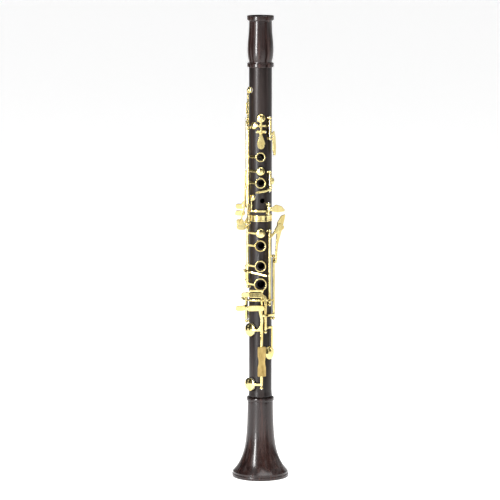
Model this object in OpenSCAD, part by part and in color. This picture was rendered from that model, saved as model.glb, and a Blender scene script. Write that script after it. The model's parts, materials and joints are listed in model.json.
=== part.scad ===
// Seventeen-key, six-ring soprano clarinet, standing on its bell.
// Origin: centre of the bell rim on the bore axis. +Z runs up the bore, and the tone holes face -Y.
// Angles around the tube are measured from the front (-Y) towards +X.

/* [Tube] */
// Outer radius of the upper and lower joints
tube_r = 14.5; // [14.3:0.1:14.7]
// Bore radius
bore_r = 7.4; // [7:0.1:7.6]
// Top of the bell
bell_top = 103; // [103:103]
// Top of the lower joint
lower_top = 338.4; // [338.4:338.4]
// Top of the upper joint
upper_top = 525.5; // [525.5:525.5]
// Length of the barrel
barrel_len = 64.5; // [60:0.5:66]
// Radius of a tenon without its cork
tenon_r = 11.0; // [10.9:0.05:11.1]
// Radius of a tenon cork
cork_r = 11.4; // [11.3:0.05:11.4]
// Radius of a socket
socket_r = 11.45; // [11.45:0.01:11.5]
// Radius of the mouthpiece socket in the barrel
mouthpiece_r = 11.2; // [11.1:0.05:11.3]
// Depth of the mouthpiece socket
mouthpiece_depth = 16.5; // [15:0.5:17]

/* [Bell] */
// Radius of the bell's narrow end
bell_neck_r = 16.2; // [16:0.1:16.4]
// Radius of the bell at its lip
bell_lip_r = 36.2; // [36:0.1:36.5]
// Height over which the flare opens by a factor of e
flare_scale = 20; // [19:0.5:21]

/* [Keys] */
// Distance from the bore axis to a hinge rod
hinge_r = 17.7; // [17.7:17.7]
// Radius of a hinge rod
rod_r = 1.0; // [0.9:0.05:1.0]
// Radius of a hinge tube
hinge_tube_r = 1.8; // [1.7:0.05:1.8]
// Radius of a post's ball
ball_r = 2.1; // [2:0.05:2.15]
// Opening of the ring keys, in degrees
ring_open = 5; // [4:0.5:5]
// Opening of the large open-standing keys, in degrees
cup_open = 8; // [6:0.5:8]
// Opening of the right-hand C sharp key, in degrees
sharp_open = 8; // [6:0.5:8]

/* [Hidden] */
$fn = 48;
rod_gap = 0.05;
metal = 1.6;
seat_r = 13.9;
big_seat_r = 13.2;
chimney_top = 16.6;
ring_thick = 1.4;
cup_wall = 0.45;
pad_depth = 2.2;
touch_r = 23.2;
barrel_base = upper_top;
barrel_top = upper_top + barrel_len;
ferrule_low = 330.5;
gold = "gold";
blackwood = [0.16, 0.14, 0.14];
rosewood = [0.2, 0.1, 0.08];

// Hinge lines round the tube, as angles
phi_ring_up = -62;
phi_ring_low = -66;
phi_trill_a = -104;
phi_trill_b = -126;
phi_throat = 42.7;
phi_c_sharp = 36;
phi_thumb = 148;
phi_sliver = -88;
phi_centre = 4.4;
phi_a_flat = 21;
phi_f_sharp = -92;
phi_lever_f = 41;
phi_lever_e = 71;

// Each hinge rod: angle, lower post height, upper post height
UPPER_RODS = [
    [phi_ring_up, 347.5, 449.5], [phi_trill_a, 347.6, 459.5], [phi_trill_b, 347.6, 472.4],
    [phi_throat, 436, 462], [phi_throat, 370.7, 393.3], [phi_c_sharp, 341.2, 352.8],
    [phi_thumb, 402, 436]];
LOWER_RODS = [
    [phi_ring_low, 246.6, 327.9], [phi_sliver, 254, 272], [phi_centre, 117.6, 184.6],
    [phi_centre, 184.6, 199.4], [phi_a_flat, 189.6, 232.4], [phi_f_sharp, 201, 236.4],
    [phi_lever_f, 224.1, 318.4], [phi_lever_e, 205.6, 285.4]];
// Each saddle for a cross-wise rod: angle, height, radius of the rod, half width between its ears
UPPER_SADDLES = [[2, 445, 18.8, 5], [180, 460, 18.8, 2.5], [-83, 372, 18.8, 2], [-150, 380, 18.8, 2]];

// Each padded tone hole: angle, height, pad radius, seat radius
UPPER_PADS = [
    [2, 462, 4.9, seat_r], [-30, 452.5, 4.0, seat_r], [3, 395, 4.8, seat_r], [72, 381, 4.0, seat_r],
    [-39, 361, 3.6, seat_r], [-60, 497, 3.9, seat_r], [-103, 478, 3.9, seat_r], [-83, 392, 3.6, seat_r],
    [-150, 401, 3.6, seat_r], [180, 478, 3.6, seat_r], [180, 409, 4.2, seat_r]];
LOWER_PADS = [
    [3, 316, 5.4, seat_r], [-113, 262, 3.8, seat_r], [-54, 191.5, 8.0, big_seat_r], [50, 161.5, 8.0, big_seat_r],
    [-55, 121, 8.0, big_seat_r], [-128, 209, 6.0, big_seat_r]];
// Each finger hole with a raised chimney: angle, height, hole radius, ring outer radius
UPPER_RINGS = [[3, 413, 3.2, 6.2], [3, 380, 3.7, 6.75], [180, 425, 3.6, 6.6]];
LOWER_RINGS = [[3, 300, 4.2, 7.3], [3, 274, 4.2, 7.3], [3, 250.5, 4.9, 8.2]];
ring_width = 1.5;
ring_gap = 0.6;

// ---- placing helpers ----

function on_ring(phi, r) = [r * sin(phi), -r * cos(phi), 0];
function turned(p, phi) = [p[0] * cos(phi) - p[1] * sin(phi), p[0] * sin(phi) + p[1] * cos(phi)];

// Turns children, drawn at the front, to the angle phi and lifts them to z
module at(phi, z = 0) {
    translate([0, 0, z]) rotate([0, 0, phi]) children();
}

// Turns children about the hinge rod at phi
module swing(phi, angle) {
    translate(on_ring(phi, hinge_r)) rotate([0, 0, angle]) translate(-on_ring(phi, hinge_r)) children();
}

// Points an axis outwards at the angle phi and height z, starting r from the bore axis
module outward(phi, z, r) {
    at(phi, z) translate([0, -r, 0]) rotate([90, 0, 0]) children();
}

// Extrudes an outline drawn in the tangent plane, with its second coordinate as the height
module plate(phi, r, t = metal) {
    at(phi) translate([0, -r, 0]) rotate([90, 0, 0]) linear_extrude(t) children();
}

// Extrudes an outline drawn in a radial plane, distance from the bore axis against height
module blade(phi, w) {
    at(phi) rotate([90, 0, -90]) translate([0, 0, -w / 2]) linear_extrude(w) children();
}

// A line of round-ended strokes
module strokes(points, w) {
    for (i = [0 : len(points) - 2]) {
        step = points[i + 1] - points[i];
        translate(points[i]) rotate(atan2(step[1], step[0]))
            translate([0, -w / 2]) square([norm(step), w]);
        translate(points[i + 1]) circle(w / 2 + 0.02);
    }
    translate(points[0]) circle(w / 2 + 0.02);
}

// A round-ended finger plate between two points
module lozenge(a, b, r) {
    strokes([a, b], 2 * r);
}

// A strap that follows the tube's curve
module band(r, from, to, z, w = 3, t = metal) {
    low = min(from, to);
    rotate([0, 0, low - 90]) rotate_extrude(angle = abs(to - from))
        translate([r, z - w / 2]) square([t, w]);
}

// A straight arm from the hinge rod at phi to a point beside it, seen along the bore
module arm(end, phi, z, w = 2.8, t = 1.5) {
    hinge = on_ring(phi, hinge_r);
    translate([0, 0, z - w / 2]) linear_extrude(w) strokes([end, [hinge[0], hinge[1]]], t);
}

// A strap that runs along the tube
module strip(phi, r, low, high, w = 2.4, t = metal) {
    at(phi) translate([-w / 2, -r - t, low]) cube([w, t, high - low]);
}

// ---- key parts ----

module hinge_tube(phi, low, high, r = hinge_tube_r) {
    translate(on_ring(phi, hinge_r) + [0, 0, low]) cylinder(r = r, h = high - low);
}

module hinge_bore(phi, low, high) {
    translate(on_ring(phi, hinge_r) + [0, 0, low - 1]) cylinder(r = rod_r + rod_gap, h = high - low + 2);
}

module cross_tube(phi, z, r, half) {
    at(phi, z) translate([-half, -r, 0]) rotate([0, 90, 0]) cylinder(r = hinge_tube_r, h = 2 * half);
}

module cross_bore(phi, z, r, half) {
    at(phi, z) translate([-half - 1, -r, 0]) rotate([0, 90, 0])
        cylinder(r = rod_r + rod_gap, h = 2 * half + 2);
}

// A pad cup, with its pad's face on the seat
function cup_dome(r) = 1.2 + 0.13 * r;

module cup(p) {
    r = p[2];
    rim = r + cup_wall;
    dome = cup_dome(r);
    outward(p[0], p[1], p[3]) {
        difference() {
            translate([0, 0, 1]) cylinder(r = rim, h = 1.7);
            translate([0, 0, 0.5]) cylinder(r = r + 0.05, h = pad_depth - 0.5);
        }
        intersection() {
            translate([0, 0, 2.7 + dome - rim * rim / (2 * dome) - dome / 2])
                sphere(r = rim * rim / (2 * dome) + dome / 2, $fn = 96);
            translate([0, 0, 2.65]) cylinder(r = rim, h = dome + 1);
        }
    }
}

// The felt and skin pad inside a cup
module pad(p) {
    color("ivory") outward(p[0], p[1], p[3] + 0.02) cylinder(r = p[2], h = pad_depth - 0.04);
}

// Height of a cup's crown above its seat
function crown(p) = 2.7 + cup_dome(p[2]);

// A finger ring, level with its chimney when it is pressed
module finger_ring(h) {
    outward(h[0], h[1], chimney_top - ring_thick) difference() {
        cylinder(r = h[3], h = ring_thick);
        translate([0, 0, -1]) cylinder(r = h[3] - ring_width, h = ring_thick + 2);
    }
}

// ---- tube and furniture ----

// The bore and everything cut into a joint
module seat_cuts(pads) {
    for (p = pads) {
        wide = p[2] + cup_wall + 0.5;
        outward(p[0], p[1], min(p[3] - 0.8, sqrt(tube_r * tube_r - wide * wide) - 0.15))
            cylinder(r = wide, h = 8);
    }
}

module seat_rings(pads) {
    for (p = pads) outward(p[0], p[1], 9.5) cylinder(r = 0.62 * p[2] + 1, h = p[3] - 9.5);
}

module seat_holes(pads) {
    for (p = pads) outward(p[0], p[1], 4) cylinder(r = 0.62 * p[2], h = 14);
}

module chimneys(rings) {
    for (h = rings) outward(h[0], h[1], 12) cylinder(r = h[3] - ring_width - ring_gap, h = chimney_top - 12);
}

module finger_holes(rings) {
    for (h = rings) outward(h[0], h[1], 4) cylinder(r = h[2], h = 16);
}

module tenon(from, to) {
    translate([0, 0, from]) cylinder(r = tenon_r, h = to - from);
}

module cork_groove(from, to) {
    translate([0, 0, from]) difference() {
        cylinder(r = tenon_r + 1, h = to - from);
        translate([0, 0, -1]) cylinder(r = tenon_r - 0.6, h = to - from + 2);
    }
}

module cork(from, to) {
    color("tan") translate([0, 0, from]) difference() {
        cylinder(r = cork_r, h = to - from);
        translate([0, 0, -1]) cylinder(r = tenon_r - 0.58, h = to - from + 2);
    }
}

module upper_joint() color(blackwood) difference() {
    union() {
        difference() {
            translate([0, 0, lower_top]) cylinder(r = tube_r, h = upper_top - lower_top, $fn = 96);
            seat_cuts(UPPER_PADS);
        }
        tenon(lower_top - 16.5, lower_top + 1);
        tenon(upper_top - 1, upper_top + 15);
        seat_rings(UPPER_PADS);
        chimneys(UPPER_RINGS);
    }
    cork_groove(lower_top - 13.5, lower_top - 3.5);
    cork_groove(upper_top + 3, upper_top + 12);
    translate([0, 0, lower_top - 20]) cylinder(r = bore_r, h = upper_top - lower_top + 40);
    seat_holes(UPPER_PADS);
    finger_holes(UPPER_RINGS);
    outward(10.6, 357, 4) cylinder(r = 3.3, h = 14);
}

module lower_joint() color(blackwood) difference() {
    union() {
        difference() {
            union() {
                translate([0, 0, bell_top]) cylinder(r = tube_r, h = ferrule_low - bell_top, $fn = 96);
                translate([0, 0, ferrule_low - 1]) cylinder(r = 13.6, h = lower_top - ferrule_low + 1);
                translate([0, 0, bell_top]) cylinder(r1 = 15.3, r2 = tube_r, h = 9, $fn = 96);
            }
            seat_cuts(LOWER_PADS);
        }
        tenon(bell_top - 20.5, bell_top + 1);
        seat_rings(LOWER_PADS);
        chimneys(LOWER_RINGS);
    }
    cork_groove(bell_top - 17, bell_top - 5);
    translate([0, 0, 80]) cylinder(r = bore_r, h = 270);
    translate([0, 0, 80]) cylinder(r1 = 9.6, r2 = bore_r, h = 70);
    translate([0, 0, lower_top - 17]) cylinder(r = socket_r, h = 20);
    seat_holes(LOWER_PADS);
    finger_holes(LOWER_RINGS);
}

module socket_ferrule() color(gold) translate([0, 0, ferrule_low + 0.02]) difference() {
    cylinder(r = 15.1, h = lower_top - ferrule_low - 0.04);
    translate([0, 0, -1]) cylinder(r = 13.62, h = 12);
}

module barrel() color(rosewood) {
    waist = 532 - barrel_base;
    neck = barrel_len - 6.5;
    difference() {
        rotate_extrude($fn = 96) translate([0, barrel_base]) polygon(concat(
            [[0, 0.02], [16.4, 0.02], [16.9, 0.5], [16.9, 4.4], [16.4, 5], [14.9, 5.2]],
            [for (i = [0 : 16]) let (t = i / 16)
                [14.6 + 1.9 * sin(180 * pow(1 - t, 2.07)), waist + t * (neck - waist)]],
            [[16.6, neck + 0.6], [17.1, neck + 1.2], [17.1, barrel_len - 0.6], [16.5, barrel_len], [0, barrel_len]]));
        translate([0, 0, barrel_base - 1]) cylinder(r = socket_r, h = 16.5);
        translate([0, 0, barrel_base - 1]) cylinder(r = bore_r + 0.1, h = barrel_len + 2);
        translate([0, 0, barrel_top - mouthpiece_depth]) cylinder(r = mouthpiece_r, h = 20);
    }
}

function flare(z) = bell_neck_r + 27 * exp(-z / flare_scale);
function throat(z) = 11.4 + 21 * exp(-z / (flare_scale - 1));

module bell() color(rosewood) difference() {
    rotate_extrude($fn = 96) polygon(concat(
        [[throat(0), 0], [bell_lip_r - 1.4, 0], [bell_lip_r - 0.3, 1.1], [bell_lip_r, 2.8], [bell_lip_r - 0.1, 5]],
        [for (i = [0 : 18]) let (z = 6.6 + i * 4.8) [flare(z), z]],
        [[16.4, 98], [17.1, 98.4], [17.5, 99.2], [17.5, 101.8], [17, 102.8], [16, bell_top - 0.02]],
        [[socket_r, bell_top - 0.02], [socket_r, 82], [throat(82), 82]],
        [for (i = [16 : -1 : 1]) let (z = i * 5) [throat(z), z]]));
}

module bell_tenon_cork() cork(bell_top - 16.98, bell_top - 5.02);
module middle_tenon_cork() cork(lower_top - 13.48, lower_top - 3.52);
module barrel_tenon_cork() cork(upper_top + 3.02, upper_top + 11.98);

// A turned post with a ball head at the hinge line
module post(phi, z) {
    outward(phi, z, tube_r - 1) cylinder(r = 1.3, h = hinge_r - tube_r + 1);
    outward(phi, z, tube_r - 1) cylinder(r1 = 2.6, r2 = 1.5, h = 2.2);
    translate(on_ring(phi, hinge_r) + [0, 0, z]) sphere(r = ball_r);
}

// Two ears for a cross-wise rod
module saddle(s) {
    at(s[0], s[1]) for (side = [-1, 1]) translate([side * (s[3] + 0.6), 0, 0]) {
        translate([-0.5, -s[2], -1.6]) cube([1, s[2] - 11, 3.2]);
        translate([-0.5, -s[2], 0]) rotate([0, 90, 0]) cylinder(r = 1.9, h = 1);
    }
}

module post_set(rods, saddles) color(gold) difference() {
    union() {
        for (r = rods, z = [r[1], r[2]]) post(r[0], z);
        for (s = saddles) saddle(s);
    }
    translate([0, 0, 90]) cylinder(r = tube_r + 0.02, h = 450, $fn = 96);
    for (r = rods) hinge_bore(r[0], r[1] - 2, r[2] + 2);
    for (s = saddles) cross_bore(s[0], s[1], s[2], s[3] + 1);
}

module posts_upper() post_set(UPPER_RODS, UPPER_SADDLES);
module posts_lower() post_set(LOWER_RODS, []);

module hinge_rod(r) {
    translate(on_ring(r[0], hinge_r) + [0, 0, r[1] - ball_r + 0.1]) cylinder(r = rod_r, h = r[2] - r[1] + 2 * ball_r - 0.2);
}

module hinge_rods_upper() color("silver") {
    for (r = UPPER_RODS) hinge_rod(r);
    for (s = UPPER_SADDLES) at(s[0], s[1]) translate([-s[3] - 1.4, -s[2], 0]) rotate([0, 90, 0])
        cylinder(r = rod_r, h = 2 * s[3] + 2.8);
}

module hinge_rods_lower() color("silver") {
    for (r = LOWER_RODS) if (r[1] != 184.6) hinge_rod(r[1] == 117.6 ? [r[0], 117.6, 199.4] : r);
}

// Thin steel springs that lie between a hinge tube and the wood
module needle_springs() color("steelblue") {
    for (r = concat(UPPER_RODS, LOWER_RODS)) if (r[2] - r[1] > 14.9)
        translate(on_ring(r[0], 15.25) + [0, 0, r[1] + 1.9]) cylinder(r = 0.3, h = min(15, r[2] - r[1] - 4.5), $fn = 16);
}

module thumb_rest() color(gold) difference() {
    union() {
        intersection() {
            outward(180, 300, tube_r - 1) translate([-5.5, -13, 0]) cube([11, 26, 4]);
            translate([0, 0, 280]) cylinder(r = tube_r + 1.4, h = 40);
        }
        intersection() {
            translate([-6, tube_r, 303]) cube([12, 15, 2.2]);
            translate([0, tube_r + 7, 300]) cylinder(r = 9, h = 8);
        }
    }
    translate([0, 0, 280]) cylinder(r = tube_r + 0.02, h = 40, $fn = 96);
    for (z = [291, 309]) outward(180, z, tube_r - 2) cylinder(r = 1.3, h = 6);
}

module thumb_rest_screws() color("silver") for (z = [291, 309]) outward(180, z, tube_r + 0.1) {
    cylinder(r = 1.2, h = 1.5);
    translate([0, 0, 1.42]) cylinder(r = 2.1, h = 0.9);
}

// ---- upper joint keys ----

module throat_a_key() color(gold) difference() {
    union() {
        cup(UPPER_PADS[0]);
        outward(2, 462, seat_r + crown(UPPER_PADS[0]) - 0.6) cylinder(r = 1.6, h = 2);
        strip(2, 19.0, 443, 463.5, 2.6);
        cross_tube(2, 445, 18.8, 4.7);
        plate(2, 19.9) { translate([0, 431]) circle(4.95); polygon([[-4.7, 432.4], [-1.2, 443.5], [1.2, 443.5], [4.7, 432.4]]); translate([0, 427.8]) circle(4.2); }
    }
    cross_bore(2, 445, 18.8, 4.7);
}
module throat_a_pad() pad(UPPER_PADS[0]);

module throat_g_sharp_key() color(gold) difference() {
    union() {
        cup(UPPER_PADS[1]);
        band(16.9, -25, phi_throat - 1, 452.5, 2.4, 1.2);
        hinge_tube(phi_throat, 438.3, 459.7);
        band(18.0, phi_throat, 62, 442, 3);
        plate(61, 18.2) { lozenge([1.8, 421], [0.8, 437], 3.6); lozenge([2.6, 416.6], [2.6, 424], 2.8); lozenge([0, 438], [0, 443], 2.2); }
    }
    hinge_bore(phi_throat, 438.3, 459.7);
}
module throat_g_sharp_pad() pad(UPPER_PADS[1]);

module upper_ring_key() color(gold) swing(phi_ring_up, -ring_open) difference() {
    union() {
        hinge_tube(phi_ring_up, 349.8, 447.2);
        for (h = [UPPER_RINGS[0], UPPER_RINGS[1]]) {
            finger_ring(h);
            arm(turned([0.8 - h[3], 0.75 - chimney_top], h[0]), phi_ring_up, h[1]);
        }
        cup(UPPER_PADS[2]);
        arm([-3.8, -17.4], phi_ring_up, 395);
        band(17.0, phi_ring_up, -48.5, 352, 2.6, 1.6);
        strip(-50, 17.9, 341, 353.5, 2.4, 1.2);
    }
    hinge_bore(phi_ring_up, 349.8, 447.2);
}
module upper_ring_pad() swing(phi_ring_up, -ring_open) pad(UPPER_PADS[2]);

module left_sliver_key() color(gold) difference() {
    union() {
        hinge_tube(phi_throat, 373, 391);
        cup(UPPER_PADS[3]);
        band(17.0, phi_throat, 66, 381, 2.8, 1.4);
        arm([13.4, -17.4], phi_throat, 374.6, 2.6, 2);
        plate(4, 17.6, 1.5) strokes([[-6.2, 368.4], [1, 369], [6, 370.2], [10, 372.2], [12.6, 374.8]], 2.4);
    }
    hinge_bore(phi_throat, 373, 391);
}
module left_sliver_pad() pad(UPPER_PADS[3]);

module c_sharp_key() color(gold) difference() {
    union() {
        cup(UPPER_PADS[4]);
        outward(-39, 361, seat_r + crown(UPPER_PADS[4]) - 0.6) cylinder(r = 1.4, h = 1.2);
        strip(-40, 17.4, 343, 362, 2.2, 1.5);
        band(16.9, -42, phi_c_sharp, 344.4, 2.4, 1.8);
        hinge_tube(phi_c_sharp, 343.5, 350.5);
        band(18.6, phi_c_sharp, 48, 347, 5, 1.6);
        plate(48, 19.2) hull() { translate([1, 346]) circle(2.8); translate([7.5, 347.8]) circle(3.8); translate([16, 346]) circle(3); translate([22, 342.8]) circle(1.6); translate([10, 343.6]) circle(2.4); }
    }
    hinge_bore(phi_c_sharp, 343.5, 350.5);
}
module c_sharp_pad() pad(UPPER_PADS[4]);

// A finger plate on a tongue that stands out from a hinge rod
module side_touch(phi, dir, from_z, touch_z, reach) {
    translate(on_ring(phi, hinge_r)) rotate([0, 0, dir]) rotate([90, 0, -90]) translate([0, 0, -0.9]) linear_extrude(1.8) {
        strokes([[1.2, from_z], [4.4, from_z], [8.5, touch_z]], 2.6);
        lozenge([8.5, touch_z], [reach - 3.4, touch_z], 3.4);
    }
}

module upper_trill_key() color(gold) difference() {
    union() {
        hinge_tube(phi_trill_a, 350, 457.2);
        cup(UPPER_PADS[5]);
        outward(-60, 497, seat_r + crown(UPPER_PADS[5]) - 0.6) cylinder(r = 1.4, h = 1.6);
        band(17.4, phi_trill_a, -56, 455, 2.8, 1.8);
        strip(-58, 17.8, 453.7, 498, 2.4, 1.5);
        side_touch(phi_trill_a, -118, 353, 347, 16);
    }
    hinge_bore(phi_trill_a, 350, 457.2);
}
module upper_trill_pad() pad(UPPER_PADS[5]);

module lower_trill_key() color(gold) difference() {
    union() {
        hinge_tube(phi_trill_b, 350, 470);
        cup(UPPER_PADS[6]);
        outward(-103, 478, seat_r + crown(UPPER_PADS[6]) - 0.6) cylinder(r = 1.4, h = 1.6);
        band(17.4, phi_trill_b, -102, 467, 3, 1.8);
        strip(-103, 17.8, 465.6, 479, 2.4, 1.5);
        side_touch(phi_trill_b, -100, 353, 338, 18.5);
    }
    hinge_bore(phi_trill_b, 350, 470);
}
module lower_trill_pad() pad(UPPER_PADS[6]);

module side_e_flat_key() color(gold) difference() {
    union() {
        cross_tube(-83, 372, 18.8, 1.8);
        cup(UPPER_PADS[7]);
        outward(-83, 392, seat_r + crown(UPPER_PADS[7]) - 0.6) cylinder(r = 1.4, h = 1.8);
        blade(-83, 2.4) strokes([[19.2, 393], [19.2, 372], [20.2, 350], [24, 334], [26, 329]], 1.9);
        blade(-83, 2.2) lozenge([24.6, 329], [27.6, 329], 3.4);
    }
    cross_bore(-83, 372, 18.8, 1.8);
}
module side_e_flat_pad() pad(UPPER_PADS[7]);

module side_f_sharp_key() color(gold) difference() {
    union() {
        cross_tube(-150, 380, 18.8, 1.8);
        cup(UPPER_PADS[8]);
        outward(-150, 401, seat_r + crown(UPPER_PADS[8]) - 0.6) cylinder(r = 1.4, h = 1.8);
        blade(-150, 2.4) strokes([[19.2, 402], [19.2, 380], [19.6, 344]], 1.9);
        translate([0, 18.6, 0]) rotate([90, 0, 0]) linear_extrude(1.8) {
            strokes([[-9.6, 346], [-15, 333], [-22, 321]], 2.8);
            lozenge([-22, 320], [-26.2, 320], 4.4);
        }
    }
    cross_bore(-150, 380, 18.8, 1.8);
}
module side_f_sharp_pad() pad(UPPER_PADS[8]);

module register_key() color(gold) difference() {
    union() {
        cross_tube(180, 460, 18.8, 2.3);
        cup(UPPER_PADS[9]);
        outward(180, 478, seat_r + crown(UPPER_PADS[9]) - 0.6) cylinder(r = 1.4, h = 1.8);
        blade(180, 3) strokes([[19.2, 479], [19.2, 460], [20, 446]], 1.9);
        plate(180, 19.2) hull() { translate([0, 447]) circle(2); translate([0, 439]) circle(4); }
    }
    cross_bore(180, 460, 18.8, 2.3);
}
module register_pad() pad(UPPER_PADS[9]);

module thumb_ring_key() color(gold) swing(phi_thumb, -ring_open) difference() {
    union() {
        hinge_tube(phi_thumb, 404.3, 433.7);
        finger_ring(UPPER_RINGS[2]);
        arm([UPPER_RINGS[2][3] - 0.8, chimney_top - 0.75], phi_thumb, 425);
        cup(UPPER_PADS[10]);
        arm([3.6, 17.2], phi_thumb, 409);
    }
    hinge_bore(phi_thumb, 404.3, 433.7);
}
module thumb_ring_pad() swing(phi_thumb, -ring_open) pad(UPPER_PADS[10]);

// ---- lower joint keys ----

module lower_ring_key() color(gold) swing(phi_ring_low, -ring_open) difference() {
    union() {
        hinge_tube(phi_ring_low, 248.9, 325.6);
        for (h = LOWER_RINGS) {
            finger_ring(h);
            arm(turned([0.8 - h[3], 0.75 - chimney_top], h[0]), phi_ring_low, h[1]);
        }
        cup(LOWER_PADS[0]);
        arm([-4.2, -17.45], phi_ring_low, 316);
        band(17.6, phi_ring_low, -48.5, 322.5, 2.6, 2.6);
        strip(-50, 19.5, 321, 346, 2.4, 1.2);
    }
    hinge_bore(phi_ring_low, 248.9, 325.6);
}
module lower_ring_pad() swing(phi_ring_low, -ring_open) pad(LOWER_PADS[0]);

module right_sliver_key() color(gold) difference() {
    union() {
        hinge_tube(phi_sliver, 256.3, 269.7);
        cup(LOWER_PADS[1]);
        band(17.3, -112, phi_sliver, 262, 2.5, 1.4);
        at(phi_sliver, 266.5) translate([-1.2, -21.5, -1.1]) cube([2.4, 3, 2.2]);
        band(20.6, phi_sliver - 4, -39, 266.5, 2.6, 1.4);
        at(-41.4, 266.4) translate([-1.1, -21.6, -1]) cube([2.2, 4.3, 2]);
        plate(-20, 17.35, 1.5) strokes([[-6.6, 266.1], [4, 264.2], [14, 262.4]], 2.55);
    }
    hinge_bore(phi_sliver, 256.3, 269.7);
}
module right_sliver_pad() pad(LOWER_PADS[1]);

module f_c_key() color(gold) swing(phi_centre, cup_open) difference() {
    union() {
        hinge_tube(phi_centre, 186.9, 197.1);
        cup(LOWER_PADS[2]);
        band(17.0, phi_centre, -50, 192, 3, 1.8);
        at(0) translate([-3.8, -touch_r - metal, 192.3]) cube([2.8, touch_r + metal - 17.2, 4]);
        plate(0, touch_r) { strokes([[-2.2, 194.2], [0.6, 199.5], [1, 207], [-1.5, 218]], 3.4); lozenge([-14.7, 221.3], [0.9, 221.3], 3.5); }
    }
    hinge_bore(phi_centre, 186.9, 197.1);
}
module f_c_pad() swing(phi_centre, cup_open) pad(LOWER_PADS[2]);

module a_flat_key() color(gold) difference() {
    union() {
        hinge_tube(phi_a_flat, 191.9, 230.1);
        cup(LOWER_PADS[3]);
        band(17.0, phi_a_flat, 58, 195, 3, 1.6);
        strip(55, 17.05, 162, 196.4, 2.6, 1.5);
        at(0) translate([4.9, -touch_r - metal, 225.6]) cube([2.8, touch_r + metal - 17, 3.4]);
        plate(0, touch_r) { strokes([[6.3, 227.5], [5.6, 236], [0.8, 238]], 3); lozenge([-11.2, 238], [0.8, 238], 3.2); }
    }
    hinge_bore(phi_a_flat, 191.9, 230.1);
}
module a_flat_pad() pad(LOWER_PADS[3]);

module e_b_key() color(gold) swing(phi_centre, cup_open) difference() {
    union() {
        hinge_tube(phi_centre, 119.9, 182.3);
        cup(LOWER_PADS[4]);
        band(17.0, phi_centre, -51, 121.8, 3, 1.8);
        at(phi_centre) translate([-1.2, -21.5, 179]) cube([2.4, 2.6, 3]);
        strip(phi_centre, 20.15, 179.4, 205, 2.4, 1.35);
        strip(phi_centre, 18.3, 203, 239, 2.4, 1.2);
        at(phi_centre) translate([-1.15, -20.8, 237.2]) cube([2.3, 2.4, 1.7]);
        strip(phi_centre, 19.7, 237.4, 244, 2.4, 1.2);
        at(phi_centre) translate([-1.15, -21.4, 203.1]) cube([2.3, 2.9, 1.8]);
        at(phi_centre) translate([-1.15, -22.5, 209.6]) cube([2.3, 4, 2.8]);
        band(21.3, phi_centre, 33, 211, 2.8, 1.3);
        at(0) translate([0.4, -touch_r - metal, 241.8]) cube([2.4, touch_r + metal - 19.8, 2.4]);
        plate(0, touch_r) { strokes([[1.5, 243.6], [-14, 243.9], [-18.4, 240]], 2.4); lozenge([-22.4, 239], [-18.2, 239], 3.1); }
    }
    hinge_bore(phi_centre, 119.9, 182.3);
}
module e_b_pad() swing(phi_centre, cup_open) pad(LOWER_PADS[4]);

// The shield that stands on the low key's hinge tube
module crest_plate() color(gold) swing(phi_centre, cup_open) difference() {
    plate(phi_centre, hinge_r + 0.7, 2.2) hull() {
        for (side = [-1, 1]) {
            translate([side * 4.2, 169.9]) circle(1.1, $fn = 32);
            translate([side * 4.2, 133.6]) circle(1.1, $fn = 32);
        }
    }
    for (side = [-1, 1]) at(phi_centre) translate([side * 24.1, -hinge_r + 2, 151.7]) rotate([90, 0, 0]) cylinder(r = 20, h = 8);
    hinge_tube(phi_centre, 120, 182, hinge_tube_r + 0.02);
}

module f_sharp_key() color(gold) swing(phi_f_sharp, sharp_open) difference() {
    union() {
        hinge_tube(phi_f_sharp, 203.3, 234.1);
        cup(LOWER_PADS[5]);
        band(16.8, -124, phi_f_sharp, 209, 3, 1.8);
        translate(on_ring(phi_f_sharp, hinge_r)) rotate([0, 0, -26]) rotate([90, 0, -90]) translate([0, 0, -0.9]) linear_extrude(1.8)
            strokes([[1.2, 221], [23.6, 221]], 3);
        plate(0, 20.5) lozenge([-31.6, 221], [-25.2, 221], 3.4);
        band(18.4, phi_f_sharp - 3, phi_f_sharp + 3, 230.6, 2, 5.8);
        band(23.5, phi_f_sharp - 4, -17, 230.6, 2.4, 1.2);
    }
    hinge_bore(phi_f_sharp, 203.3, 234.1);
}
module f_sharp_pad() swing(phi_f_sharp, sharp_open) pad(LOWER_PADS[5]);

lever_e_open = 5.6;
lever_f_open = 6.6;

module left_e_lever() color(gold) swing(phi_lever_e, -lever_e_open) difference() {
    union() {
        hinge_tube(phi_lever_e, 207.9, 283.1);
        band(18.4, 60, phi_lever_e, 211, 3, 1.4);
        band(19.6, 30, 64, 211, 3, 1.4);
        at(70) translate([-1.4, -21, 277]) cube([2.8, 2.6, 4]);
        plate(60, 19.95, 1.5) { strokes([[3.4, 278], [5.5, 300]], 3.8); hull() { translate([5.5, 299]) circle(1.9); translate([10.5, 326]) circle(4); translate([17, 333]) circle(3.4); translate([22, 335]) circle(2); } }
    }
    hinge_bore(phi_lever_e, 207.9, 283.1);
}

module left_f_sharp_lever() color(gold) swing(phi_lever_f, -lever_f_open) difference() {
    union() {
        hinge_tube(phi_lever_f, 226.4, 316.1);
        band(18.6, phi_lever_f - 3, phi_lever_f + 3, 230.6, 2, 3.3);
        band(21.2, -24, phi_lever_f + 4, 230.6, 2.4, 1.2);
        plate(40, 19.3, 1.5) { strokes([[0.3, 311], [8, 318]], 3.2); hull() { translate([8, 318]) circle(2.6); translate([14, 324]) circle(4); translate([18, 322]) circle(2.8); } }
    }
    hinge_bore(phi_lever_f, 226.4, 316.1);
}

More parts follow.
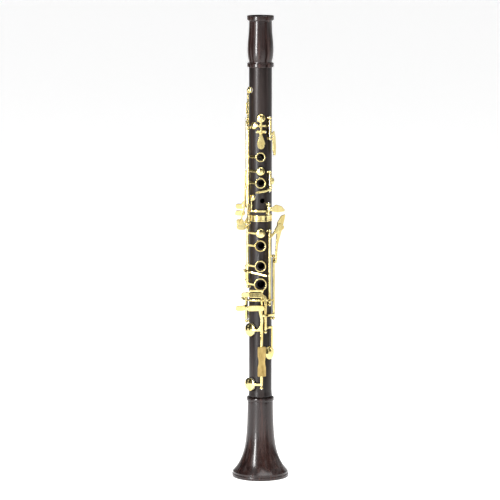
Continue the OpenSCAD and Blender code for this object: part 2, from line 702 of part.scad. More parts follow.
bell();
lower_joint();
upper_joint();
barrel();
socket_ferrule();
bell_tenon_cork();
middle_tenon_cork();
barrel_tenon_cork();
posts_lower();
posts_upper();
hinge_rods_lower();
hinge_rods_upper();
thumb_rest();
thumb_rest_screws();
register_key();
register_pad();
thumb_ring_key();
thumb_ring_pad();
throat_a_key();
throat_a_pad();
throat_g_sharp_key();
throat_g_sharp_pad();
upper_trill_key();
upper_trill_pad();
lower_trill_key();
lower_trill_pad();
side_e_flat_key();
side_e_flat_pad();
side_f_sharp_key();
side_f_sharp_pad();
upper_ring_key();
upper_ring_pad();
left_sliver_key();
left_sliver_pad();
c_sharp_key();
c_sharp_pad();
lower_ring_key();
lower_ring_pad();
right_sliver_key();
right_sliver_pad();
a_flat_key();
a_flat_pad();
f_c_key();
f_c_pad();
e_b_key();
e_b_pad();
crest_plate();
f_sharp_key();
f_sharp_pad();
left_e_lever();
left_f_sharp_lever();
needle_springs();
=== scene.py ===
"""Looks of a wooden clarinet with gold-plated keys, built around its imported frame.

Lengths are in metres unless a name ends in _mm. +Z runs up the bore, and the tone holes face -Y.
"""

from __future__ import annotations

import json
import logging
import math
from dataclasses import dataclass
from enum import Enum
from typing import Sequence

import bmesh
import bpy
from mathutils import Euler, Matrix, Vector


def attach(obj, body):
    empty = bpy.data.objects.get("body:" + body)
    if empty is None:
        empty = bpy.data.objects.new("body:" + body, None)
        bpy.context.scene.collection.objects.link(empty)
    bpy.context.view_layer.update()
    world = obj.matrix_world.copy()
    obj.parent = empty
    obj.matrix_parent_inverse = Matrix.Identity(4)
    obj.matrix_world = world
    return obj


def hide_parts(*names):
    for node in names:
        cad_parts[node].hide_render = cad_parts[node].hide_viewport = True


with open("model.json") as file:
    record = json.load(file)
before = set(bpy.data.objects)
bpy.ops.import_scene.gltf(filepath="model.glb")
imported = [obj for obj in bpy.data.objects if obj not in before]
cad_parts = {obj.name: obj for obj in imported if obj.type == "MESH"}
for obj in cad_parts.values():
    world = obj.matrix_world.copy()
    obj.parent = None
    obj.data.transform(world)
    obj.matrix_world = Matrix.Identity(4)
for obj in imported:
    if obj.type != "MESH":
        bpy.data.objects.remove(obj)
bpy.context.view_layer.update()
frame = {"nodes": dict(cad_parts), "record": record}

MM = 0.001
LOG = logging.getLogger("clarinet")


class Shade(Enum):
    """How a piece's faces meet under light."""

    SMOOTH = math.radians(40)
    TURNED = math.radians(28)
    SHARP = math.radians(15)


# ---------------------------------------------------------------- finishes


class NodeBoard:
    """A material's node tree, with short calls for the nodes that the finishes use."""

    def __init__(self, name: str) -> None:
        """Starts an empty material.

        Args:
            name: The material's name.
        """
        self.material = bpy.data.materials.new(name)
        self.material.use_nodes = True
        self.tree = self.material.node_tree
        self.tree.nodes.clear()
        self.output = self.tree.nodes.new("ShaderNodeOutputMaterial")
        self.shader = self.tree.nodes.new("ShaderNodeBsdfPrincipled")
        self.link(self.shader.outputs["BSDF"], self.output.inputs["Surface"])
        self.coords = self.tree.nodes.new("ShaderNodeTexCoord")

    def link(self, source: bpy.types.NodeSocket, target: bpy.types.NodeSocket) -> None:
        """Joins two sockets."""
        self.tree.links.new(source, target)

    def stretched(self, scale: Sequence[float]) -> bpy.types.NodeSocket:
        """Object coordinates, scaled.

        Args:
            scale: The scale along X, Y and Z.

        Returns:
            The vector socket.
        """
        mapping = self.tree.nodes.new("ShaderNodeMapping")
        mapping.inputs["Scale"].default_value = scale
        self.link(self.coords.outputs["Object"], mapping.inputs["Vector"])
        return mapping.outputs["Vector"]

    def noise(
        self,
        vector: bpy.types.NodeSocket,
        scale: float,
        detail: float = 4,
        rough: float = 0.55,
        warp: float = 0,
    ) -> bpy.types.NodeSocket:
        """A noise texture's factor.

        Args:
            vector: The coordinates.
            scale: The noise's scale.
            detail: How many octaves it has.
            rough: The weight of the finer octaves.
            warp: The distortion.

        Returns:
            The factor socket.
        """
        node = self.tree.nodes.new("ShaderNodeTexNoise")
        node.inputs["Scale"].default_value = scale
        node.inputs["Detail"].default_value = detail
        node.inputs["Roughness"].default_value = rough
        node.inputs["Distortion"].default_value = warp
        self.link(vector, node.inputs["Vector"])
        return node.outputs["Fac"]

    def cells(self, vector: bpy.types.NodeSocket, scale: float) -> bpy.types.NodeSocket:
        """Distance to the nearest of many scattered points."""
        node = self.tree.nodes.new("ShaderNodeTexVoronoi")
        node.inputs["Scale"].default_value = scale
        self.link(vector, node.inputs["Vector"])
        return node.outputs["Distance"]

    def ramp(self, factor: bpy.types.NodeSocket, stops: Sequence[tuple]) -> bpy.types.NodeSocket:
        """A colour ramp.

        Args:
            factor: The value it reads.
            stops: Pairs of a place and a colour.

        Returns:
            The colour socket.
        """
        node = self.tree.nodes.new("ShaderNodeValToRGB")
        elements = node.color_ramp.elements
        while len(elements) < len(stops):
            elements.new(0.5)
        for element, (place, colour) in zip(elements, stops):
            element.position = place
            element.color = (*colour, 1)
        self.link(factor, node.inputs["Fac"])
        return node.outputs["Color"]

    def spread(
        self,
        factor: bpy.types.NodeSocket,
        low: float,
        high: float,
        start: float = 0.3,
        end: float = 0.7,
    ) -> bpy.types.NodeSocket:
        """Maps a factor from start..end to low..high."""
        node = self.tree.nodes.new("ShaderNodeMapRange")
        node.inputs["From Min"].default_value = start
        node.inputs["From Max"].default_value = end
        node.inputs["To Min"].default_value = low
        node.inputs["To Max"].default_value = high
        self.link(factor, node.inputs["Value"])
        return node.outputs["Result"]

    def mixed(
        self, factor: bpy.types.NodeSocket, colour: bpy.types.NodeSocket, plain: tuple
    ) -> bpy.types.NodeSocket:
        """A colour mixed with a plain colour by a factor."""
        node = self.tree.nodes.new("ShaderNodeMix")
        node.data_type = "RGBA"
        self.link(factor, node.inputs["Factor"])
        self.link(colour, node.inputs[6])
        node.inputs[7].default_value = (*plain, 1)
        return node.outputs[2]

    def bump(self, height: bpy.types.NodeSocket, depth: float, strength: float = 1.0) -> None:
        """Adds a bump on top of those before it.

        Args:
            height: The height factor.
            depth: The height of a full step, in metres.
            strength: How much of it shows.
        """
        node = self.tree.nodes.new("ShaderNodeBump")
        node.inputs["Strength"].default_value = strength
        node.inputs["Distance"].default_value = depth
        self.link(height, node.inputs["Height"])
        before = self.shader.inputs["Normal"]
        if before.is_linked:
            self.link(before.links[0].from_socket, node.inputs["Normal"])
        self.link(node.outputs["Normal"], before)

    def paint(self, colour: bpy.types.NodeSocket) -> None:
        """Colours the shader."""
        self.link(colour, self.shader.inputs["Base Color"])

    def roughen(self, factor: bpy.types.NodeSocket, low: float, high: float) -> None:
        """Sets the shader's roughness from a factor, between two values."""
        self.link(self.spread(factor, low, high), self.shader.inputs["Roughness"])

    def set(self, **values: float | tuple) -> None:
        """Sets the shader's sockets, named with underscores for spaces."""
        for name, value in values.items():
            self.shader.inputs[name.replace("_", " ")].default_value = value


@dataclass(frozen=True)
class Wood:
    """Turned and polished hardwood, its grain running up the bore."""

    name: str
    dark: tuple
    mid: tuple
    streak: tuple
    rough: float
    coat: float
    pore_depth: float = 0.00004

    def material(self) -> bpy.types.Material:
        """Builds the node material."""
        board = NodeBoard(self.name)
        along = board.stretched((1, 1, 0.045))
        bands = board.noise(along, 190, 5, 0.62, 0.6)
        colour = board.ramp(bands, [(0.34, self.dark), (0.52, self.mid), (0.68, self.streak)])
        fine = board.noise(board.stretched((1, 1, 0.025)), 1500, 3, 0.6)
        shade = board.spread(fine, 0.0, 0.75, 0.52, 0.66)
        colour = board.mixed(shade, colour, self.dark)
        broad = board.noise(board.stretched((1, 1, 0.25)), 28, 2)
        colour = board.mixed(board.spread(broad, 0.0, 0.45, 0.45, 0.7), colour, self.streak)
        board.paint(colour)
        pores = board.cells(board.stretched((1, 1, 0.05)), 1700)
        board.bump(board.spread(pores, 0, 1, 0.05, 0.35), self.pore_depth, 0.35)
        board.bump(fine, self.pore_depth, 0.3)
        board.roughen(bands, self.rough - 0.05, self.rough + 0.07)
        board.set(Coat_Weight=self.coat, Coat_Roughness=0.15, IOR=1.5, Specular_IOR_Level=0.3)
        return board.material


@dataclass(frozen=True)
class Plating:
    """Polished metal plate with faint buffing marks, darkened toward a deep colour in random patches of
    painted shade.
    """

    name: str
    colour: tuple
    # The darker colour, laid in random patches as painted shade.
    deep: tuple
    rough: float = 0.17

    def material(self) -> bpy.types.Material:
        """Builds the node material."""
        board = NodeBoard(self.name)
        # Painted shade: random noise patches mix the colour toward the deep colour.
        painted_shade_patches = board.noise(board.stretched((1, 1, 0.4)), 130, 4, 0.6)
        board.paint(board.ramp(painted_shade_patches, [(0.38, self.colour), (0.72, self.deep)]))
        buffed = board.noise(board.stretched((1, 1, 0.12)), 1600, 2)
        board.roughen(buffed, self.rough - 0.05, self.rough + 0.08)
        board.bump(board.noise(board.stretched((1, 1, 1)), 240, 2), 0.00006, 0.25)
        board.set(Metallic=1.0, IOR=1.5)
        return board.material


@dataclass(frozen=True)
class Cork:
    """Sheet cork with dark flecks."""

    name: str = "tenon_cork"

    def material(self) -> bpy.types.Material:
        """Builds the node material."""
        board = NodeBoard(self.name)
        grains = board.cells(board.stretched((1, 1, 1)), 900)
        shades = [(0.1, (0.30, 0.17, 0.08)), (0.35, (0.62, 0.42, 0.23)), (0.8, (0.74, 0.55, 0.33))]
        colour = board.ramp(grains, shades)
        flecks = board.noise(board.stretched((1, 1, 0.5)), 700, 3)
        board.paint(board.mixed(board.spread(flecks, 0, 0.8, 0.6, 0.7), colour, (0.12, 0.06, 0.03)))
        board.bump(grains, 0.0001, 0.6)
        board.set(Roughness=0.85)
        return board.material


@dataclass(frozen=True)
class PadSkin:
    """Thin pale skin over felt."""

    name: str = "pad_skin"

    def material(self) -> bpy.types.Material:
        """Builds the node material."""
        board = NodeBoard(self.name)
        mottle = board.noise(board.stretched((1, 1, 1)), 500, 4)
        board.paint(board.ramp(mottle, [(0.35, (0.80, 0.73, 0.58)), (0.7, (0.93, 0.89, 0.79))]))
        board.bump(mottle, 0.00008, 0.5)
        board.set(Roughness=0.5, Coat_Weight=0.2)
        return board.material


class FinishRack:
    """Every finish on the instrument, made once each."""

    def __init__(self) -> None:
        """Makes the materials."""
        self.rosewood = Wood(
            "polished_rosewood",
            dark=(0.007, 0.0034, 0.0032),
            mid=(0.015, 0.0069, 0.0063),
            streak=(0.038, 0.016, 0.012),
            rough=0.24,
            coat=0.42,
        ).material()
        self.blackwood = Wood(
            "oiled_blackwood",
            dark=(0.006, 0.0042, 0.004),
            mid=(0.012, 0.0078, 0.0072),
            streak=(0.026, 0.0165, 0.0145),
            rough=0.33,
            coat=0.03,
        ).material()
        # Each plating's second colour is painted shade, laid in random patches.
        self.gold = Plating("gold_plate", (0.88, 0.76, 0.36), (0.66, 0.50, 0.17), 0.12).material()
        self.crest = Plating("crest_gold", (0.60, 0.44, 0.17), (0.26, 0.17, 0.05), 0.34).material()
        self.steel = Plating("polished_steel", (0.62, 0.62, 0.63), (0.42, 0.42, 0.44), 0.22).material()
        self.blued = Plating("blued_needles", (0.10, 0.14, 0.30), (0.05, 0.07, 0.16), 0.25).material()
        self.cork = Cork().material()
        self.skin = PadSkin().material()
        self.by_slot = {
            "rosewood": self.rosewood,
            "blackwood": self.blackwood,
            "gold_plate": self.gold,
            "steel": self.steel,
            "blued_steel": self.blued,
            "cork": self.cork,
            "pad_skin": self.skin,
        }


# ---------------------------------------------------------------- shared workshop calls


def body_of_node(node: str) -> str:
    """The body that a CAD node belongs to."""
    groups = frame["record"]["behaviour"]["bodies"]
    return next(body for body, members in groups.items() if node in members)


def slot_of_node(node: str) -> str:
    """The material slot of a CAD node."""
    return next(row["material_slot"] for row in frame["record"]["subparts"] if row["node"] == node)


def new_piece(
    name: str, mesh: bmesh.types.BMesh, material: bpy.types.Material, shade: Shade = Shade.SMOOTH
) -> bpy.types.Object:
    """Makes an object from a mesh, smooth-shaded up to an angle.

    Args:
        name: The piece's name.
        mesh: Its faces. It is freed.
        material: Its finish.
        shade: The angle past which an edge stays sharp.

    Returns:
        The object, linked to the scene.
    """
    data = bpy.data.meshes.new(name)
    mesh.to_mesh(data)
    mesh.free()
    piece = bpy.data.objects.new(name, data)
    bpy.context.scene.collection.objects.link(piece)
    data.materials.append(material)
    data.shade_smooth()
    data.set_sharp_from_angle(angle=shade.value)
    return piece


def welded(data: bpy.types.Mesh) -> bmesh.types.BMesh:
    """A copy of a mesh with its doubled corners joined."""
    mesh = bmesh.new()
    mesh.from_mesh(data)
    bmesh.ops.remove_doubles(mesh, verts=mesh.verts, dist=1e-6)
    return mesh


def round_edges(piece: bpy.types.Object, width: float, angle: float = math.radians(30)) -> None:
    """Rounds the edges that are sharper than an angle."""
    edges = piece.modifiers.new("edges", "BEVEL")
    edges.width = width
    edges.segments = 2
    edges.limit_method = "ANGLE"
    edges.angle_limit = angle


def even_normals(piece: bpy.types.Object) -> None:
    """Weights the normals by face size, so flat faces shade flat."""
    normals = piece.modifiers.new("normals", "WEIGHTED_NORMAL")
    normals.keep_sharp = True


def place(piece: bpy.types.Object, matrix: Matrix) -> None:
    """Moves a piece's mesh, leaving its object at the origin."""
    piece.data.transform(matrix)
    piece.data.update()


def fit_out(piece: bpy.types.Object, body: str, slot: str, *nodes: str) -> None:
    """Sets what a finished piece rides on and hides the CAD nodes it stands for."""
    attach(piece, body)
    if nodes:
        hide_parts(*nodes)
    LOG.info("%s rides on %s", piece.name, body)


@dataclass
class Casting:
    """A CAD part's own shape, with its edges rounded and polished as a casting's are.

    Attributes:
        node: The CAD node it stands for.
        grain: The size of the mesh it is worked in.
        passes: How many times it is smoothed.
    """

    node: str
    grain: float = 0.26 * MM
    passes: int = 7

    def build(self, finish: bpy.types.Material) -> bpy.types.Object:
        """Copies the CAD mesh and rounds it.

        Args:
            finish: The material.

        Returns:
            The finished piece.
        """
        piece = new_piece(f"{self.node}_polished", welded(frame["nodes"][self.node].data), finish)
        remesh = piece.modifiers.new("skin", "REMESH")
        remesh.mode = "VOXEL"
        remesh.voxel_size = self.grain
        remesh.use_smooth_shade = True
        smooth = piece.modifiers.new("polish", "SMOOTH")
        smooth.factor = 0.5
        smooth.iterations = self.passes
        fit_out(piece, body_of_node(self.node), slot_of_node(self.node), self.node)
        return piece


# ---------------------------------------------------------------- studio


@dataclass
class Studio:
    """Pale floor, soft lights and the camera.

    Attributes:
        distance: From the bore axis to the camera.
        aim_z: The height that the middle of the picture shows.
        rise: The camera's height above that.
        sideways: Where the camera stands along X.
        lens_mm: The lens's focal length.
    """

    distance: float = 4.0
    aim_z: float = 0.2923
    rise: float = 0.59
    sideways: float = -0.0132
    lens_mm: float = 229.2

    def camera(self) -> None:
        """Adds the camera."""
        data = bpy.data.cameras.new("camera")
        data.lens = self.lens_mm
        data.sensor_width = 36
        data.clip_end = 100
        eye = bpy.data.objects.new("camera", data)
        eye.location = (self.sideways, -self.distance, self.aim_z + self.rise)
        target = Vector((self.sideways, 0, self.aim_z))
        eye.rotation_euler = (target - eye.location).to_track_quat("-Z", "Y").to_euler()
        bpy.context.scene.collection.objects.link(eye)
        bpy.context.scene.camera = eye

    def softbox(self, name: str, at: Sequence[float], size: Sequence[float], power: float) -> None:
        """Adds a rectangular light that faces the clarinet.

        Args:
            name: Its name.
            at: Where it stands.
            size: Its width and height.
            power: Its power in watts.
        """
        data = bpy.data.lights.new(name, "AREA")
        data.shape = "RECTANGLE"
        data.size, data.size_y = size
        data.energy = power
        lamp = bpy.data.objects.new(name, data)
        lamp.location = at
        lamp.rotation_euler = (Vector((0, 0, 0.3)) - Vector(at)).to_track_quat("-Z", "Y").to_euler()
        bpy.context.scene.collection.objects.link(lamp)

    def lights(self) -> None:
        """Adds the soft studio lights."""
        self.softbox("key_strip", (-1.35, -1.7, 0.75), (0.26, 2.2), 78)
        self.softbox("fill_right", (1.9, -1.5, 0.9), (0.4, 1.8), 7)
        self.softbox("overhead", (0.3, -0.3, 2.2), (1.6, 1.6), 30)

    def surround(self) -> None:
        """Adds a room of pale panels and dark gaps, which the metal mirrors."""
        world = bpy.data.worlds.new("surround")
        world.use_nodes = True
        tree = world.node_tree
        coords = tree.nodes.new("ShaderNodeTexCoord")
        panels = tree.nodes.new("ShaderNodeTexNoise")
        panels.inputs["Scale"].default_value = 4.2
        panels.inputs["Detail"].default_value = 1
        ramp = tree.nodes.new("ShaderNodeValToRGB")
        ramp.color_ramp.elements[0].position = 0.47
        ramp.color_ramp.elements[0].color = (0.015, 0.015, 0.015, 1)
        ramp.color_ramp.elements[1].position = 0.55
        ramp.color_ramp.elements[1].color = (1, 1, 1, 1)
        tree.links.new(coords.outputs["Generated"], panels.inputs["Vector"])
        tree.links.new(panels.outputs["Fac"], ramp.inputs["Fac"])
        tree.links.new(ramp.outputs["Color"], tree.nodes["Background"].inputs["Color"])
        tree.nodes["Background"].inputs["Strength"].default_value = 0.9
        bpy.context.scene.world = world
        bpy.context.scene.view_settings.view_transform = "Standard"

    def floor(self) -> None:
        """Adds the pale floor."""
        board = NodeBoard("pale_floor")
        speck = board.noise(board.stretched((1, 1, 1)), 30, 3)
        board.paint(board.ramp(speck, [(0.3, (0.9, 0.9, 0.9)), (0.7, (0.93, 0.93, 0.93))]))
        board.set(Roughness=0.7, Emission_Color=(1, 1, 1, 1), Emission_Strength=0.6)
        mesh = bmesh.new()
        bmesh.ops.create_grid(mesh, x_segments=1, y_segments=1, size=12)
        floor = new_piece("floor", mesh, board.material)

    def flags(self) -> None:
        """Adds dark cards beside the light's path, so polished metal mirrors light and dark."""
        board = NodeBoard("flag_cloth")
        weave = board.noise(board.stretched((1, 1, 1)), 60, 2)
        board.paint(board.ramp(weave, [(0.3, (0.012, 0.011, 0.010)), (0.7, (0.02, 0.018, 0.015))]))
        board.set(Roughness=0.95, Specular_IOR_Level=0.0)
        cards = (
            ("low", (-0.1, -1.3, 0.03), (0.5, 0.5), (0, 0, 0)),
            ("mid", (0.15, -2.5, 0.03), (0.9, 0.6), (0, 0, 0)),
            ("left", (-0.85, -0.2, 0.4), (0.3, 1.2), (90, 0, -77)),
            ("left_back", (-0.7, 0.35, 0.4), (0.4, 1.2), (90, 0, 90)),
            ("right", (0.55, -0.4, 0.4), (0.3, 1.2), (90, 0, 55)),
            ("high", (0.0, -1.6, 1.5), (1.1, 0.5), (40, 0, 0)),
        )
        for name, centre, size, turn in cards:
            mesh = bmesh.new()
            bmesh.ops.create_grid(mesh, x_segments=1, y_segments=1, size=0.5)
            card = new_piece(f"flag_{name}", mesh, board.material)
            spin = Euler([math.radians(a) for a in turn]).to_matrix().to_4x4()
            place(card, Matrix.Translation(centre) @ spin @ Matrix.Diagonal((*size, 1, 1)))
            card.visible_camera = False
            card.visible_diffuse = False
            card.visible_shadow = False

    def build(self) -> None:
        """Sets up the whole studio."""
        self.camera()
        self.lights()
        self.surround()
        self.floor()
        self.flags()


# ---------------------------------------------------------------- the instrument


def bead(radius: float, low: float, high: float, swell: float, steps: int = 8) -> list:
    """A rounded rim, from its top edge to its bottom edge.

    Args:
        radius: The widest radius in millimetres.
        low: The height of its bottom edge.
        high: The height of its top edge.
        swell: How far it stands out from its edges.
        steps: How many points it has, less one.

    Returns:
        Pairs of a radius and a height in millimetres.
    """
    points = []
    for step in range(steps + 1):
        turn = math.pi * (0.5 - step / steps)
        round_off = math.copysign(abs(math.sin(turn)) ** 0.6, turn)
        height = (low + high) / 2 + (high - low) / 2 * round_off
        points.append((radius - swell * (1 - math.cos(turn) ** 0.6), height))
    return points


@dataclass(frozen=True)
class Turned:
    """A piece turned on a lathe.

    Attributes:
        node: The CAD node it stands for.
        outside: Radii and heights in millimetres, from the top to the bottom.
        inside: Radii and heights of the bore, from the bottom to the top.
        steps: How many facets go round it.
    """

    node: str
    outside: tuple
    inside: tuple
    steps: int = 160

    def build(self, finish: bpy.types.Material) -> bpy.types.Object:
        """Draws the profile and turns it.

        Args:
            finish: The material.

        Returns:
            The finished piece.
        """
        mesh = bmesh.new()
        ring = [mesh.verts.new((r * MM, 0, z * MM)) for r, z in (*self.outside, *self.inside)]
        for here, after in zip(ring, ring[1:] + ring[:1]):
            mesh.edges.new((here, after))
        piece = new_piece(f"{self.node}_turned", mesh, finish)
        screw = piece.modifiers.new("lathe", "SCREW")
        screw.axis = "Z"
        screw.angle = math.tau
        screw.steps = screw.render_steps = self.steps
        screw.use_merge_vertices = True
        screw.use_normal_calculate = True
        screw.use_smooth_shade = True
        round_edges(piece, 0.12 * MM, math.radians(38))
        even_normals(piece)
        fit_out(piece, body_of_node(self.node), slot_of_node(self.node), self.node)
        return piece


def flare(z: float) -> float:
    """The bell's outer radius at a height, both in millimetres."""
    return 16.2 + 27 * math.exp(-z / 20)


def throat(z: float) -> float:
    """The bell's inner radius at a height, both in millimetres."""
    return 11.4 + 21 * math.exp(-z / 19)


def belly(t: float) -> float:
    """The barrel's radius in millimetres, t of the way up its waist."""
    return 14.6 + 1.9 * math.sin(math.pi * (1 - t) ** 2.07)


@dataclass
class Woodwork:
    """The bell, the two joints, the barrel and the metal band over the middle socket.

    Heights and radii are in millimetres.

    Attributes:
        finishes: The materials.
        socket: The radius of the sockets that take the corked tenons.
        bell_radius: The bell's radius at its rim.
        bell_top: The height of the bell's top.
        bell_floor: The height of the floor of the bell's socket.
        barrel_base: The height of the barrel's foot.
        barrel_top: The height of the barrel's top.
        barrel_floor: The height of the roof of the barrel's lower socket.
        bore: The radius of the barrel's bore.
        mouthpiece_floor: The height of the floor of the mouthpiece's socket.
        mouthpiece_socket: The radius of that socket.
        band_low: The height of the metal band's foot.
        band_high: The height of its top.
        band_bore: The radius inside it.
    """

    finishes: FinishRack
    socket: float = 11.45
    bell_radius: float = 36.19
    bell_top: float = 102.98
    bell_floor: float = 82.0
    barrel_base: float = 525.52
    barrel_top: float = 590.0
    barrel_floor: float = 541.0
    bore: float = 7.5
    mouthpiece_floor: float = 573.5
    mouthpiece_socket: float = 11.2
    band_low: float = 330.52
    band_high: float = 338.38
    band_bore: float = 13.62

    def bell(self) -> None:
        """Turns the bell."""
        outside = bead(17.5, 98.2, self.bell_top, 1.3)
        outside += [(16.35, 97.6)] + [(flare(z), z) for z in [95 - 2.2 * i for i in range(41)]]
        outside += bead(self.bell_radius, 0.0, 4.4, 0.9)
        inside = [(33.9, 0.0), (33.1, 0.25)] + [(throat(z), z) for z in [1 + 2.7 * i for i in range(31)]]
        inside += [(throat(self.bell_floor), self.bell_floor), (self.socket, self.bell_floor)]
        inside += [(self.socket, self.bell_top)]
        Turned("bell", tuple(outside), tuple(inside)).build(self.finishes.rosewood)

    def barrel(self) -> None:
        """Turns the barrel."""
        low, high = 532.0, 583.5
        outside = bead(17.1, 584.9, self.barrel_top, 0.5) + [(16.6, 584.4)]
        outside += [(belly(1 - i / 36), high - (high - low) * i / 36) for i in range(37)]
        outside += [(14.9, 530.9)] + bead(16.9, self.barrel_base, 530.5, 0.5)
        inside = [(self.socket, self.barrel_base), (self.socket, self.barrel_floor)]
        inside += [(self.bore, self.barrel_floor), (self.bore, self.mouthpiece_floor)]
        inside += [(self.mouthpiece_socket, z) for z in (self.mouthpiece_floor, self.barrel_top)]
        Turned("barrel", tuple(outside), tuple(inside)).build(self.finishes.rosewood)

    def band(self) -> None:
        """Turns the metal band."""
        outside = bead(15.1, 336.6, self.band_high, 0.25) + [(14.85, 336.3), (14.85, 332.6)]
        outside += bead(15.1, self.band_low, 332.3, 0.25)
        inside = ((self.band_bore, self.band_low), (self.band_bore, self.band_high))
        Turned("socket_ferrule", tuple(outside), inside).build(self.finishes.gold)

    def joints(self) -> None:
        """Smooths the two bored joints, leaving the rims of their holes crisp."""
        for node in ("upper_joint", "lower_joint"):
            mesh = welded(frame["nodes"][node].data)
            piece = new_piece(f"{node}_bored", mesh, self.finishes.blackwood, Shade.TURNED)
            even_normals(piece)
            fit_out(piece, body_of_node(node), slot_of_node(node), node)

    def build(self) -> None:
        """Makes every wooden piece and the band."""
        self.bell()
        self.barrel()
        self.band()
        self.joints()


def prism(mesh: bmesh.types.BMesh, outline: Sequence[tuple], low: float, high: float) -> None:
    """Adds a flat-sided block to a mesh.

    Args:
        mesh: The mesh it joins.
        outline: Its corners, anticlockwise, in metres.
        low: The height of its foot.
        high: The height of its top.
    """
    foot = [mesh.verts.new((x, y, low)) for x, y in outline]
    top = [mesh.verts.new((x, y, high)) for x, y in outline]
    mesh.faces.new(list(reversed(foot)))
    mesh.faces.new(top)
    count = len(outline)
    for i in range(count):
        mesh.faces.new((foot[i], foot[(i + 1) % count], top[(i + 1) % count], top[i]))


def loose_parts(data: bpy.types.Mesh) -> list:
    """The corners of each separate part of a mesh."""
    mesh = welded(data)
    left, parts = set(mesh.verts), []
    while left:
        queue, found = [left.pop()], []
        while queue:
            vert = queue.pop()
            found.append(vert.co.copy())
            near = {edge.other_vert(vert) for edge in vert.link_edges} & left
            left -= near
            queue.extend(near)
        parts.append(found)
    mesh.free()
    return parts


@dataclass
class HingeRods:
    """Every hinge rod, with a slotted head on each end.

    Attributes:
        finishes: The materials.
        radius: The radius of a head.
        depth: How far a head's two halves stand out.
        slot: Half the slot's width.
        shaft: The radius of the rod between its heads.
    """

    finishes: FinishRack
    radius: float = 1.02 * MM
    depth: float = 0.42 * MM
    slot: float = 0.17 * MM
    shaft: float = 0.8 * MM

    def circle(self, radius: float, count: int = 24) -> list:
        """Points round a circle."""
        turns = [math.tau * i / count for i in range(count)]
        return [(radius * math.cos(t), radius * math.sin(t)) for t in turns]

    def rod(self, mesh: bmesh.types.BMesh, middle: Vector, axis: Vector, half: float) -> None:
        """Adds one rod and its two heads.

        Args:
            mesh: The mesh it joins.
            middle: The middle of the rod.
            axis: The way it runs.
            half: Half its length.
        """
        made = bmesh.new()
        prism(made, self.circle(self.shaft), -half, half)
        turn = axis.to_track_quat("Z", "Y").to_matrix().to_4x4()
        flip = Matrix.Rotation(math.pi, 4, "X")
        for way in (Matrix.Identity(4), flip):
            end = bmesh.new()
            prism(end, self.circle(self.radius), -0.6 * MM, self.depth * 0.5)
            for side in (-1, 1):
                reach = math.acos(self.slot / self.radius)
                turns = [-reach + 2 * reach * i / 10 for i in range(11)]
                edge = side * self.radius * 0.97
                half_disc = [(edge * math.cos(t), edge * math.sin(t)) for t in turns]
                prism(end, half_disc, self.depth * 0.45, self.depth)
            end.transform(way @ Matrix.Translation((0, 0, half)))
            self.join(made, end)
        made.transform(Matrix.Translation(middle) @ turn)
        self.join(mesh, made)

    def join(self, mesh: bmesh.types.BMesh, other: bmesh.types.BMesh) -> None:
        """Adds another mesh's faces to a mesh. The other is freed."""
        spare = bpy.data.meshes.new("spare")
        other.to_mesh(spare)
        other.free()
        mesh.from_mesh(spare)
        bpy.data.meshes.remove(spare)

    def build(self) -> None:
        """Makes both joints' rods."""
        for node in ("hinge_rods_upper", "hinge_rods_lower"):
            mesh = bmesh.new()
            for part in loose_parts(frame["nodes"][node].data):
                middle = sum(part, Vector()) / len(part)
                rise = max(abs(co.z - middle.z) for co in part)
                around = Vector((-middle.y, middle.x, 0)).normalized()
                upright = rise > 2 * MM
                axis = Vector((0, 0, 1)) if upright else around
                half = max(abs((co - middle).dot(axis)) for co in part)
                self.rod(mesh, middle, axis, half)
            piece = new_piece(f"{node}_slotted", mesh, self.finishes.steel, Shade.SMOOTH)
            round_edges(piece, 0.06 * MM, math.radians(50))
            fit_out(piece, body_of_node(node), "steel", node)


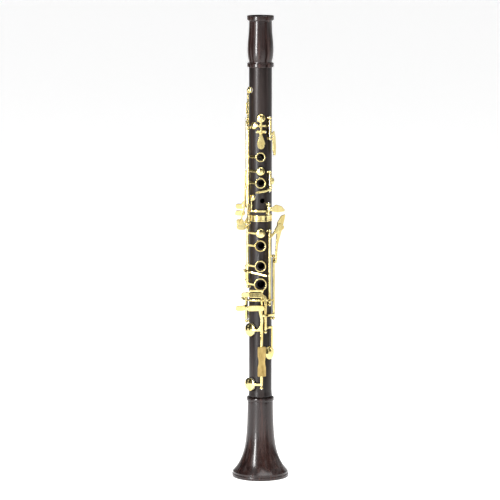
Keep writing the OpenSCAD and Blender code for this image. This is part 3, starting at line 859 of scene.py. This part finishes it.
@dataclass
class CrestRelief:
    """A plain raised border and studs on the low key's crest plate.

    Attributes:
        finishes: The materials.
        angle: Where the plate stands round the bore, from the front.
        front: The distance from the bore's axis to the plate's face.
        hinge: The distance from the bore's axis to the key's rod.
        opening: How far the key stands open at rest.
        middle_mm: The height of the plate's waist.
        waist_mm: The radius of the waist's hollow.
        hollow_mm: The distance from the plate's middle line to the hollow's centre.
        reach_mm: How far the hollow runs above and below the waist.
        widest_mm: Half the plate's greatest width.
        foot_mm: The height of the border's foot.
        tall_mm: The height of the border from foot to top.
        edge_mm: The border's width.
    """

    finishes: FinishRack
    angle: float = math.radians(4.4)
    front: float = 20.55 * MM
    hinge: float = 17.7 * MM
    opening: float = math.radians(8)
    middle_mm: float = 151.7
    waist_mm: float = 20.0
    hollow_mm: float = 24.1
    reach_mm: float = 19.0
    widest_mm: float = 5.3
    foot_mm: float = 133.9
    tall_mm: float = 35.7
    edge_mm: float = 0.6

    def half_width(self, z_mm: float, inset: float) -> float:
        """Half the plate's width at a height, less an inset, in millimetres."""
        rise = abs(z_mm - self.middle_mm)
        across = self.hollow_mm - math.sqrt(max(self.waist_mm**2 - rise**2, 0))
        return min(self.widest_mm, across if rise < self.reach_mm else self.widest_mm) - inset

    def border(self, mesh: bmesh.types.BMesh) -> None:
        """Adds the raised border."""
        heights = [self.foot_mm + self.tall_mm * i / 28 for i in range(29)]
        for side in (-1, 1):
            for low, high in zip(heights, heights[1:]):
                corners = [(low, 1.15), (high, 1.15), (high, self.edge_mm), (low, self.edge_mm)]
                outline = [(side * self.half_width(z, inset) * MM, z * MM) for z, inset in corners]
                prism(mesh, outline if side > 0 else outline[::-1], 0, 0.3 * MM)
        for z in (heights[0], heights[-1] - self.edge_mm):
            wide = self.half_width(z, self.edge_mm) * MM
            low, high = z * MM, (z + self.edge_mm) * MM
            prism(mesh, [(-wide, low), (wide, low), (wide, high), (-wide, high)], 0, 0.3 * MM)

    def studs(self, mesh: bmesh.types.BMesh) -> None:
        """Adds a row of pointed studs."""
        for i in range(7):
            z, reach = 138.5 + i * 4.4, (1.5 if i % 2 else 2.1)
            points = [(0, z - reach), (reach * 0.8, z), (0, z + reach), (-reach * 0.8, z)]
            prism(mesh, [(x * MM, h * MM) for x, h in points], 0, 0.45 * MM)

    def build(self) -> None:
        """Sets the relief on the plate as it stands at rest."""
        mesh = bmesh.new()
        self.border(mesh)
        self.studs(mesh)
        piece = new_piece("crest_relief", mesh, self.finishes.crest, Shade.SHARP)
        round_edges(piece, 0.09 * MM)
        hinge = Vector((self.hinge * math.sin(self.angle), -self.hinge * math.cos(self.angle), 0))
        swing = Matrix.Translation(hinge) @ Matrix.Rotation(self.opening, 4, "Z") @ Matrix.Translation(-hinge)
        upright = Matrix.Translation((0, -self.front, 0)) @ Matrix.Rotation(math.pi / 2, 4, "X")
        place(piece, swing @ Matrix.Rotation(self.angle, 4, "Z") @ upright)
        fit_out(piece, body_of_node("crest_plate"), "gold_plate")


@dataclass
class Keywork:
    """Every plated key, post and ring."""

    finishes: FinishRack

    def build(self) -> None:
        """Makes a polished casting for each gold CAD part."""
        for row in frame["record"]["subparts"]:
            if row["material_slot"] == "gold_plate" and row["node"] != "socket_ferrule":
                finish = self.finishes.crest if row["node"] == "crest_plate" else self.finishes.gold
                Casting(row["node"]).build(finish)


@dataclass
class CarriedOver:
    """CAD nodes that keep their own shape and take a finer finish."""

    finishes: FinishRack

    def dress(self) -> None:
        """Gives every CAD node the material of its slot."""
        for name, node in frame["nodes"].items():
            node.data.materials.clear()
            node.data.materials.append(self.finishes.by_slot[slot_of_node(name)])
            LOG.info("%s dressed", name)


def main() -> None:
    """Builds the studio and then the instrument."""
    logging.basicConfig(level=logging.INFO, format="%(name)s: %(message)s")
    Studio().build()
    finishes = FinishRack()
    CarriedOver(finishes).dress()
    Woodwork(finishes).build()
    Keywork(finishes).build()
    HingeRods(finishes).build()
    CrestRelief(finishes).build()


if __name__ == "__main__":
    main()
